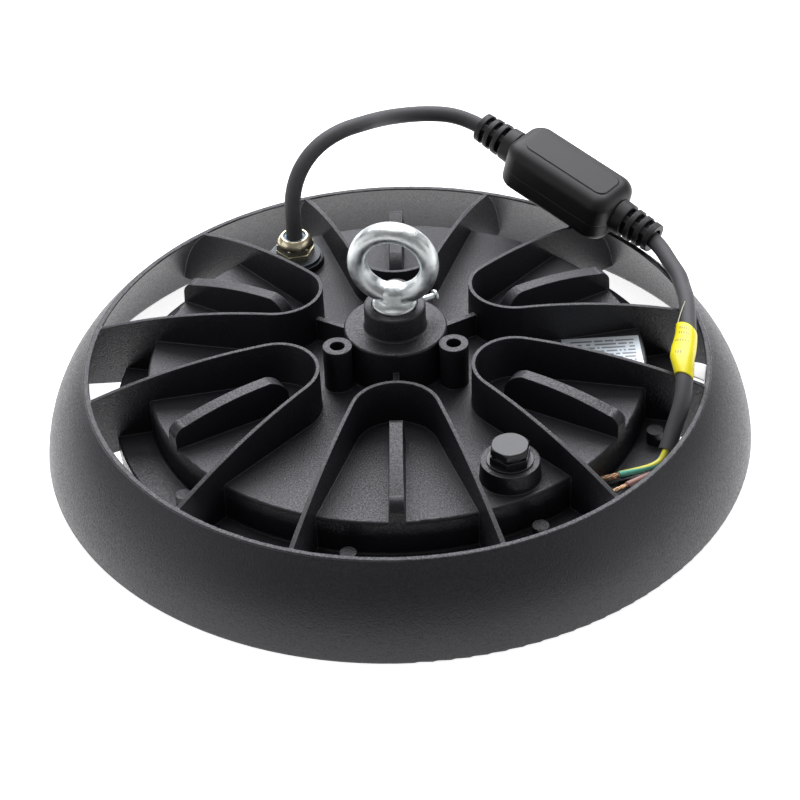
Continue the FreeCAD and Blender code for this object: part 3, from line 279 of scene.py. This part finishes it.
def zinc_plate():
    """Forged steel with bright zinc plating over a hammered skin: cool sheen with soft mottling."""
    material, tree, shader = start_material("zinc plate", "#dde2e2", 0.36, 1.0)
    place = object_place(tree)
    cloud = grain(tree, place, 3 * MM, 4.0)
    tree.links.new(mixed(tree, cloud.outputs[0], "#b9bfc0", "#f4f7f7"), shader.inputs["Base Color"])
    tree.links.new(remap(tree, cloud.outputs[0], 0.3, 0.7, 0.3, 0.5), shader.inputs["Roughness"])
    soft = add_node(tree, "ShaderNodeBevel", {"samples": 6, "Radius": 1.2 * MM}).outputs[0]
    bumped(tree, shader, grain(tree, place, 1.2 * MM, 4.0).outputs[0], 0.2 * MM, 0.6, soft)
    return material


def nickel_brass():
    """Turned brass with dull nickel plating: warm grey with fine turning marks."""
    material, tree, shader = start_material("nickel plated brass", "#cfc6ad", 0.3, 1.0)
    place = object_place(tree)
    cloud = grain(tree, place, 2 * MM, 3.0)
    tree.links.new(mixed(tree, cloud.outputs[0], "#d8cba4", "#f2ead2"), shader.inputs["Base Color"])
    soft = add_node(tree, "ShaderNodeBevel", {"samples": 6, "Radius": 0.5 * MM}).outputs[0]
    bumped(tree, shader, grain(tree, place, 0.6 * MM).outputs[0], 0.02 * MM, 0.3, soft)
    return material


def moulded(name, dark, light, roughness, lump, depth, edge=None, round_by=0.6, highlight_strength=0.6):
    """Moulded rubber or plastic: fine texture with a slight cloud of colour, and, where an edge colour is
    given, a painted highlight that makes edges paler.
    """
    material, tree, shader = start_material(name, dark, roughness)
    place = object_place(tree)
    cloud = grain(tree, place, lump * 12, 3.0)
    fine = grain(tree, place, lump, 2.0)
    soft, edges = edge_mask(tree, round_by * MM)
    body = mixed(tree, cloud.outputs[0], dark, light)
    # Painted highlight: near edges the colour is mixed towards the given pale edge colour.
    if edge is not None:
        body = mixed(tree, maths(tree, "MULTIPLY", edges, highlight_strength), body, edge)
    tree.links.new(body, shader.inputs["Base Color"])
    bumped(tree, shader, fine.outputs[0], depth, 0.5, soft)
    return material


def plain_metal(name, dark, light, roughness, mark):
    """Rolled or plated sheet with a faint cloud of marks."""
    material, tree, shader = start_material(name, light, roughness, 1.0)
    place = object_place(tree)
    cloud = grain(tree, place, mark, 3.0)
    tree.links.new(mixed(tree, cloud.outputs[0], dark, light), shader.inputs["Base Color"])
    bumped(tree, shader, cloud.outputs[0], 0.02 * MM, 0.3)
    return material


def clear_lens():
    """Clear polycarbonate sheet with a faint diffusing texture."""
    material, tree, shader = start_material("clear polycarbonate", "#eef2f4", 0.12)
    shader.inputs["Transmission Weight"].default_value = 0.9
    shader.inputs["IOR"].default_value = 1.58
    bumped(tree, shader, grain(tree, object_place(tree), 1.5 * MM).outputs[0], 0.05 * MM, 0.4)
    return material


def within(tree, value, middle, half):
    """One where a value lies within a half width of a middle value, and nought elsewhere."""
    apart = maths(tree, "ABSOLUTE", maths(tree, "SUBTRACT", value, middle))
    return maths(tree, "LESS_THAN", apart, half)


def printed_label():
    """Silver foil label with rows of plain dark bars whose lengths are whole steps."""
    material, tree, shader = start_material("printed foil", "#c5cdd5", 0.4, 0.2)
    turn = {"vector_type": "TEXTURE", "Location": LABEL_PLACE, "Rotation": (0, 0, LABEL_TURN)}
    place = add_node(tree, "ShaderNodeMapping", turn, Vector=object_place(tree)).outputs[0]
    parts = add_node(tree, "ShaderNodeSeparateXYZ", Vector=place).outputs
    level = maths(tree, "DIVIDE", maths(tree, "ADD", parts[1], LABEL_SHIFT), LABEL_ROW)
    in_row = within(tree, maths(tree, "FRACT", level), 0.5, LABEL_BAR_HALF)
    step = maths(tree, "DIVIDE", parts[0], LABEL_STEP)
    steps = add_node(tree, "ShaderNodeCombineXYZ", X=step, Y=maths(tree, "FLOOR", level))
    cell = add_node(tree, "ShaderNodeVectorMath", {"operation": "FLOOR"}, _0=steps.outputs[0])
    flat = {"noise_dimensions": "2D"}
    chance = add_node(tree, "ShaderNodeTexWhiteNoise", flat, Vector=cell.outputs[0]).outputs["Value"]
    inked = maths(tree, "MULTIPLY", in_row, maths(tree, "GREATER_THAN", chance, LABEL_BARE))
    for axis, half in enumerate(LABEL_FIELD):
        inked = maths(tree, "MULTIPLY", inked, within(tree, parts[axis], 0, half))
    ink = maths(tree, "MULTIPLY", inked, LABEL_INK)
    foil = mixed(tree, grain(tree, place, 6 * MM).outputs[0], "#bcc5ce", "#d6dce2")
    tree.links.new(mixed(tree, ink, foil, "#2c3036"), shader.inputs["Base Color"])
    return material


# Rows of strokes on the tag as shares of the way round and along: middle round, middle along, half width.
# Then half a row's height, the strokes that would go round, the share between two, and the ink's strength
TAG_BARS = [(0.2, 0.13, 0.075), (0.2, 0.24, 0.085), (0.18, 0.42, 0.085), (0.17, 0.68, 0.05)]
TAG_BAR_HALF = 0.028
TAG_STROKES = 34
TAG_BARE = 0.4
TAG_INK = 0.62

# The earth sheath's stripes: turns along the sheath, and the yellow share of the way round
STRIPE_TURNS = 0.35
YELLOW_SHARE = 0.56


def yellow_film():
    """Glossy yellow film of the wire tag with rows of short plain strokes."""
    material, tree, shader = start_material("yellow film", "#f2e312", 0.35)
    uv = add_node(tree, "ShaderNodeUVMap", {"uv_map": "around_and_along"}).outputs[0]
    parts = add_node(tree, "ShaderNodeSeparateXYZ", Vector=uv).outputs
    ink = None
    for across, along, wide in TAG_BARS:
        level = within(tree, parts[1], along, TAG_BAR_HALF)
        bar = maths(tree, "MULTIPLY", within(tree, parts[0], across, wide), level)
        ink = bar if ink is None else maths(tree, "MAXIMUM", ink, bar)
    stroke = maths(tree, "FRACT", maths(tree, "MULTIPLY", parts[0], TAG_STROKES))
    inked = maths(tree, "MULTIPLY", ink, maths(tree, "GREATER_THAN", stroke, TAG_BARE))
    faint = maths(tree, "MULTIPLY", inked, TAG_INK)
    cloud = grain(tree, object_place(tree), 8 * MM)
    film = mixed(tree, cloud.outputs[0], "#eedd0e", "#f8ec20")
    tree.links.new(mixed(tree, faint, film, "#4a4630"), shader.inputs["Base Color"])
    return material


def striped_sheath():
    """Glossy earth sheath with a yellow and a green stripe that wind slowly round it along its length."""
    material, tree, shader = start_material("green and yellow sheath", "#c8cf20", 0.35)
    uv = add_node(tree, "ShaderNodeUVMap", {"uv_map": "around_and_along"}).outputs[0]
    parts = add_node(tree, "ShaderNodeSeparateXYZ", Vector=uv).outputs
    wound = maths(tree, "ADD", parts[0], maths(tree, "MULTIPLY", parts[1], STRIPE_TURNS))
    green = maths(tree, "GREATER_THAN", maths(tree, "FRACT", wound), YELLOW_SHARE)
    tree.links.new(mixed(tree, green, "#ece64c", "#84ead0"), shader.inputs["Base Color"])
    return material


COAT = powder_coat()
ZINC = zinc_plate()
NICKEL = nickel_brass()
SEAL = moulded("silicone rubber", "#6f8496", "#8ca0b0", 0.55, 0.4 * MM, 0.03 * MM)
# The pale last colour of the washer, the black plastic and the module is a painted highlight on their
# edges.
DARK_RUBBER = moulded("washer rubber", "#252b32", "#343d46", 0.45, 0.4 * MM, 0.02 * MM, "#93a6b6", 0.8, 0.9)
BLACK_PLASTIC = moulded("black moulded plastic", "#121315", "#1a1b1e", 0.36, 0.4 * MM, 0.02 * MM, "#4a4c50")
MODULE_PLASTIC = moulded("module rubber", "#101012", "#161619", 0.54, 0.35 * MM, 0.03 * MM, "#303033", 0.9)
LEAD_RUBBER = moulded("lead rubber", "#424244", "#4d4d50", 0.64, 0.3 * MM, 0.03 * MM)
SHEET_METAL = plain_metal("rolled aluminium", "#b7b8ba", "#d2d3d4", 0.4, 9 * MM)
COPPER = plain_metal("bright copper", "#dba37a", "#f7dcbc", 0.3, 0.5 * MM)
WHITE_MASK = moulded("white solder mask", "#e4e4de", "#efefea", 0.5, 0.5 * MM, 0.01 * MM)
GREEN_MASK = moulded("green solder mask", "#1d5a35", "#27693f", 0.4, 0.6 * MM, 0.01 * MM)
PHOSPHOR = moulded("phosphor", "#d8b04a", "#e8c566", 0.6, 0.3 * MM, 0.01 * MM)
FERRITE = moulded("ferrite and tape", "#26272a", "#3a3b3f", 0.6, 0.6 * MM, 0.03 * MM)
WHITE_FILM = moulded("white film", "#f6f6f5", "#ffffff", 0.45, 2.0 * MM, 0.01 * MM)
CREAM_FILM = moulded("cream film", "#d9d6b4", "#e8e5c6", 0.45, 2.0 * MM, 0.01 * MM)
LIVE_SHEATH = moulded("live sheath", "#c3948a", "#d3a59b", 0.4, 0.5 * MM, 0.01 * MM)
NEUTRAL_SHEATH = moulded("neutral sheath", "#2b5f9e", "#346cad", 0.4, 0.5 * MM, 0.01 * MM)
LENS = clear_lens()
LABEL = printed_label()
TAG_FILM = yellow_film()
EARTH_SHEATH = striped_sheath()

NODE_FINISH = {
    COAT: ["heat_sink"],
    ZINC: ["eye_bolt", "lock_screw", "board_screws", "lens_screws", "driver_screws"],
    NICKEL: ["gland_body", "gland_nut"],
    SEAL: ["gland_seal", "lens_gasket"],
    DARK_RUBBER: ["gland_washer"],
    BLACK_PLASTIC: ["vent_plug", "vent_washer", "driver_spacers", "driver_terminal"],
    MODULE_PLASTIC: ["module_base", "module_cover", "strain_relief_in", "strain_relief_out"],
    SHEET_METAL: ["mounting_plate", "lens_frame"],
    WHITE_MASK: ["led_board"],
    GREEN_MASK: ["driver_board", "module_board"],
    PHOSPHOR: ["led_chips"],
    FERRITE: ["driver_transformer", "driver_choke", "driver_capacitors"],
    LENS: ["lens"],
    LABEL: ["rating_label"],
}
for finish, names in NODE_FINISH.items():
    for name in names:
        mesh = nodes[name].data
        mesh.materials.clear()
        mesh.materials.append(finish)


# Camera, light and floor

def place_camera():
    """Camera that looks down at the target from the reference view's height, turn and roll."""
    camera = bpy.data.cameras.new("view")
    camera.lens = VIEW_LENS
    camera.sensor_width = 36
    camera.clip_start = 0.05
    holder = bpy.data.objects.new("view", camera)
    bpy.context.collection.objects.link(holder)
    ahead = Vector((0, math.cos(VIEW_HEIGHT), -math.sin(VIEW_HEIGHT)))
    above = Vector((0, math.sin(VIEW_HEIGHT), math.cos(VIEW_HEIGHT)))
    right = Vector((1, 0, 0))
    cosine, sine = math.cos(VIEW_ROLL), math.sin(VIEW_ROLL)
    image_right = right * cosine + above * sine
    image_up = above * cosine - right * sine
    axes = Matrix((image_right, image_up, -ahead)).transposed().to_4x4()
    place = Matrix.Translation(VIEW_TARGET - ahead * VIEW_DISTANCE) @ axes
    holder.matrix_world = Matrix.Rotation(VIEW_TURN, 4, "Z") @ place
    bpy.context.scene.camera = holder


def soft_lamp(name, place, size, power, colour=(1, 1, 1), target=(0, 0, 0.03)):
    """Rectangular soft lamp that faces a target."""
    lamp = bpy.data.lights.new(name, "AREA")
    lamp.color = colour
    lamp.shape = "RECTANGLE"
    lamp.size, lamp.size_y = size
    lamp.energy = power
    holder = bpy.data.objects.new(name, lamp)
    bpy.context.collection.objects.link(holder)
    facing = (Vector(target) - Vector(place)).to_track_quat("-Z", "Y").to_matrix().to_4x4()
    holder.matrix_world = Matrix.Translation(place) @ facing


# The world's light on the object, half the floor's side, and the radii between which its glow changes.
# Then pairs below the object and round it: the glow in gloss and as the camera sees it. Then the gloss
# left far in front, and the places between which it fades
WORLD_LIGHT = 0.2
FLOOR_HALF = 6.0
GLOW_RADII = (0.15, 0.175)
GLOSS_GLOW = (2.6, 1.15)
SEEN_GLOW = (0.92, 0.78)
FRONT_GLOSS = 0.3
FRONT_PLACES = (-0.5, -0.1)


def white_world():
    """World that is white to the camera and through clear parts, and lights the object more weakly."""
    world = bpy.data.worlds.new("studio")
    bpy.context.scene.world = world
    world.use_nodes = True
    tree = world.node_tree
    ground = tree.nodes["Background"]
    ground.inputs["Color"].default_value = (1, 1, 1, 1)
    path = add_node(tree, "ShaderNodeLightPath").outputs
    seen = maths(tree, "MAXIMUM", path["Is Camera Ray"], path["Is Transmission Ray"])
    tree.links.new(remap(tree, seen, 0, 1, WORLD_LIGHT, 1.0), ground.inputs["Strength"])


def pale_floor():
    """Pale floor that keeps the soft shadow. Its glow is brightest below the object, and its gloss
    weakest in front of it."""
    half = FLOOR_HALF
    corners = [(-half, -half, 0), (half, -half, 0), (half, half, 0), (-half, half, 0)]
    mesh = bpy.data.meshes.new("floor")
    mesh.from_pydata(corners, [], [(0, 1, 2, 3)])
    floor = bpy.data.objects.new("floor", mesh)
    bpy.context.collection.objects.link(floor)
    material, tree, shader = start_material("pale paper", "#f4f4f4", 0.9)
    path = add_node(tree, "ShaderNodeLightPath").outputs
    place = object_place(tree)
    length = add_node(tree, "ShaderNodeVectorMath", {"operation": "LENGTH"}, _0=place)
    outside = remap(tree, length.outputs["Value"], *GLOW_RADII)
    ahead = add_node(tree, "ShaderNodeSeparateXYZ", Vector=place).outputs[1]
    front = remap(tree, ahead, *FRONT_PLACES, FRONT_GLOSS, 1.0)
    gloss = maths(tree, "MULTIPLY", remap(tree, outside, 0, 1, *GLOSS_GLOW), front)
    gloss = maths(tree, "MULTIPLY", gloss, path["Is Glossy Ray"])
    seen = maths(tree, "MULTIPLY", remap(tree, outside, 0, 1, *SEEN_GLOW), path["Is Camera Ray"])
    glow = maths(tree, "MAXIMUM", gloss, seen)
    shader.inputs["Emission Color"].default_value = (1, 1, 1, 1)
    tree.links.new(glow, shader.inputs["Emission Strength"])
    mesh.materials.append(material)


bpy.context.scene.view_settings.view_transform = "Standard"
place_camera()
white_world()
pale_floor()
soft_lamp("back", (0.0, 1.2, 1.15), (1.8, 1.1), 38, (0.95, 0.96, 1.0))
soft_lamp("top", (-0.1, 0.25, 1.5), (0.7, 0.7), 7)
soft_lamp("left", (-1.5, -0.3, 0.55), (1.2, 0.9), 3.5)
soft_lamp("right", (1.5, -0.3, 0.55), (1.2, 0.9), 3)


# Leads and what is on them

def add_lead(name, node, route):
    """Round lead along a route, in place of its solid."""
    piece = bpy.data.objects.new(name, new_curve(name, route, LEAD_RADIUS))
    bpy.context.collection.objects.link(piece)
    piece.data.materials.append(LEAD_RUBBER)
    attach(piece, "root")
    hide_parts(node)
    return piece


supply = add_lead("supply_cable", "supply_lead", SUPPLY_ROUTE)
tail = add_lead("tail_cable", "tail_lead", TAIL_ROUTE)
supply_line = curve_points(SUPPLY_ROUTE)
tail_line = curve_points(TAIL_ROUTE)

# The ends of the tag and of its strip as shares of the tail lead, the films' walls, and the tag's room
TAIL_STEPS = 400
TAG_START, TAG_END = 0.566, 0.782
STRIP_START, STRIP_END = 0.45, 0.56
TAG_WALL = 0.15 * MM
FILM_WALL = 0.2 * MM
TAG_ROOM = 0.22 * MM

# The tag in millimetres: how far it is pinched out by the share of its length, and its two ends' slants
TAG_PINCH = {0.0: 5.6, 0.2: 6.1, 0.52: 7.5, 0.7: 7.2, 1.0: 4.2}
TAG_SLANT = (4.3, 1.4)

# The white end in millimetres, from a share of the tag: its inner edge, width, lift, drop and slant
FLAG_START = 0.73
FLAG_EDGE = 4.0
FLAG_WIDTH = (5.6, 4.8)
FLAG_LIFT = 0.6
FLAG_DROP = 1.2
FLAG_SLANT = 1.4

# The strip from its start to the tag: its angle above the side and the angle that it spans in degrees,
# and the half axes of the ellipse that it follows in millimetres, to the side and upwards
STRIP_TURN = (75, 15)
STRIP_SPAN = (5, 14)
STRIP_SIDE = (4.2, 5.4)
STRIP_TOP = (4.2, 4.5)


def ramp(ends, share):
    """Value that lies a share of the way from a first value to a last one."""
    return ends[0] + (ends[1] - ends[0]) * share


def add_tag():
    """Yellow film wrapped round the tail lead. Its section is half a circle on the right and half an
    ellipse pinched out on the left. Its ends are aslant: the cosine of the turn moves a point along."""
    line = resample(tail_line, TAIL_STEPS)
    points = resample(line[int(TAG_START * TAIL_STEPS):int(TAG_END * TAIL_STEPS)], 48)
    heading, across, above = side_axes(points, (0, 0, 1))
    along = np.linspace(0, 1, len(points))
    fit = LEAD_RADIUS + TAG_ROOM
    pinch = np.interp(along, list(TAG_PINCH), list(TAG_PINCH.values())) * MM
    turn = np.linspace(0, 2 * math.pi, 64, endpoint=False)
    wide = np.where(np.cos(turn)[None] > 0, pinch[:, None], fit)
    slant = -np.cos(turn)[None] * ramp(TAG_SLANT, along)[:, None] * MM
    shape = (across[:, None] * (np.cos(turn)[None] * wide)[..., None]
             + above[:, None] * (np.sin(turn)[None] * fit)[..., None]
             + heading[:, None] * slant[..., None])
    piece = grid_object("tag_film", points[:, None] + shape, True, caps=False)
    wall = piece.modifiers.new("film", "SOLIDIFY")
    wall.thickness = TAG_WALL
    wall.offset = 1
    piece.data.materials.append(TAG_FILM)
    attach(piece, "root")
    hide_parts("wire_tag")
    return piece, points, across, above


tag, tag_points, tag_across, tag_above = add_tag()


def add_flag():
    """White end of the tag's film: a small sheet beside the lead. Its width shrinks with the square of
    the way along. It falls with the square of the reach, and slants by the product of both."""
    first = int(FLAG_START * len(tag_points))
    rows = tag_points[first:]
    across, above = tag_across[first:, None], tag_above[first:, None]
    heading = np.cross(above, across)
    along = np.linspace(0, 1, len(rows))[:, None]
    reach = np.linspace(0, 1, 14)[None, :]
    out = (FLAG_EDGE + ramp(FLAG_WIDTH, along ** 2) * reach) * MM
    lift = (FLAG_LIFT - FLAG_DROP * reach ** 2) * MM
    slant = FLAG_SLANT * along * reach * MM
    grid = rows[:, None] - across * out[..., None]
    grid = grid + above * lift[..., None] + heading * slant[..., None]
    piece = grid_object("tag_end", grid, False)
    wall = piece.modifiers.new("film", "SOLIDIFY")
    wall.thickness = FILM_WALL
    piece.data.materials.append(WHITE_FILM)
    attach(piece, "root")
    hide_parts("tag_flag")
    return piece


def add_strip():
    """Cream edge of the tag's film: a thin strip on an ellipse round the lead. Its angle falls evenly
    along it from near the top to near the side, and the angle that it spans grows evenly."""
    line = resample(tail_line, TAIL_STEPS)
    rows = resample(line[int(STRIP_START * TAIL_STEPS):int(STRIP_END * TAIL_STEPS)], 24)
    _, across, above = side_axes(rows, (0, 0, 1))
    along = np.linspace(0, 1, len(rows))[:, None]
    width = np.linspace(0, 1, 4)[None, :]
    turn = np.radians(ramp(STRIP_TURN, along) - ramp(STRIP_SPAN, along) * width)
    out = ramp(STRIP_SIDE, along) * MM * np.cos(turn)
    lift = ramp(STRIP_TOP, along) * MM * np.sin(turn)
    grid = rows[:, None] + across[:, None] * out[..., None] + above[:, None] * lift[..., None]
    piece = grid_object("tag_strip", grid, False)
    wall = piece.modifiers.new("film", "SOLIDIFY")
    wall.thickness = FILM_WALL
    piece.data.materials.append(CREAM_FILM)
    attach(piece, "root")
    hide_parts("wire_tag")
    return piece


flag = add_flag()
strip = add_strip()

# The cores in millimetres: finish, slot, offset from the sheath's middle, and route beyond its end
SHEATH_END = Vector(TAIL_ROUTE[-1])
HEADING = (SHEATH_END - Vector(TAIL_ROUTE[-2])).normalized()
HIDDEN_RUN = 7.0
STRAIGHT_RUN = 3.6
CORES = {
    "earth": (EARTH_SHEATH, "earth_sheath", (-0.3, -1.0, 1.6), [
        (115.0, -66.0, 25.9), (111.0, -67.4, 25.0), (105.0, -69.0, 24.6), (97.8, -71.1, 24.6)]),
    "live": (LIVE_SHEATH, "live_sheath", (1.7, -0.1, -0.9), [
        (117.3, -65.7, 23.6), (112.6, -68.9, 22.9), (107.1, -72.0, 22.4), (101.0, -75.9, 22.4)]),
    "neutral": (NEUTRAL_SHEATH, "neutral_sheath", (-0.5, 1.3, -1.4), [
        (113.0, -63.6, 22.6), (106.0, -66.4, 22.2), (98.6, -69.0, 22.2)]),
}


def add_core(name, finish, offset, route):
    """One insulated core from inside the sheath to its bared end, and its strands: a straight wire with
    six wound round it, each turned by an even angle along the bared end."""
    start = SHEATH_END + Vector(offset)
    whole = [tuple(start - HEADING * HIDDEN_RUN), tuple(start + HEADING * STRAIGHT_RUN)] + route
    line = resample(curve_points(whole), 60)
    core = tube_object(name + "_sheath", line, CORE_RADIUS)
    core.data.materials.append(finish)
    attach(core, "root")
    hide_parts(name + "_core")
    tip, direction = line[-1], line[-1] - line[-2]
    direction /= np.linalg.norm(direction)
    across = np.cross(direction, (0, 0, 1))
    across /= np.linalg.norm(across)
    above = np.cross(across, direction)
    travel = np.linspace(-STRAND_TUCK, STRAND_LENGTH, 26)
    wires = []
    for index in range(7):
        ring = 0.0 if index == 0 else STRAND_BUNDLE - WIRE_RADIUS
        turn = index * math.pi / 3 + travel / LAY_LENGTH * 2 * math.pi
        centre = tip + travel[:, None] * direction + across * (np.cos(turn) * ring)[:, None]
        centre = centre + above * (np.sin(turn) * ring)[:, None]
        wires.append(tube_object("%s_wire%d" % (name, index), centre, WIRE_RADIUS, 8))
    strands = join_pieces(name + "_copper", wires)
    strands.data.materials.append(COPPER)
    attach(strands, "root")
    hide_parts(name + "_strands")


def join_pieces(name, parts):
    """Join meshes into one object."""
    points, faces, first = [], [], 0
    for part in parts:
        mesh = part.data
        found = np.empty(len(mesh.vertices) * 3)
        mesh.vertices.foreach_get("co", found)
        points.append(found.reshape(-1, 3))
        faces += [tuple(first + corner for corner in face.vertices) for face in mesh.polygons]
        first += len(mesh.vertices)
        bpy.data.objects.remove(part)
        bpy.data.meshes.remove(mesh)
    joined = bpy.data.meshes.new(name)
    joined.from_pydata([tuple(point) for point in np.concatenate(points).tolist()], [], faces)
    joined.polygons.foreach_set("use_smooth", np.ones(len(joined.polygons), bool))
    obj = bpy.data.objects.new(name, joined)
    bpy.context.collection.objects.link(obj)
    return obj


for core_name, (finish, slot_name, offset, route) in CORES.items():
    add_core(core_name, finish, offset, route)
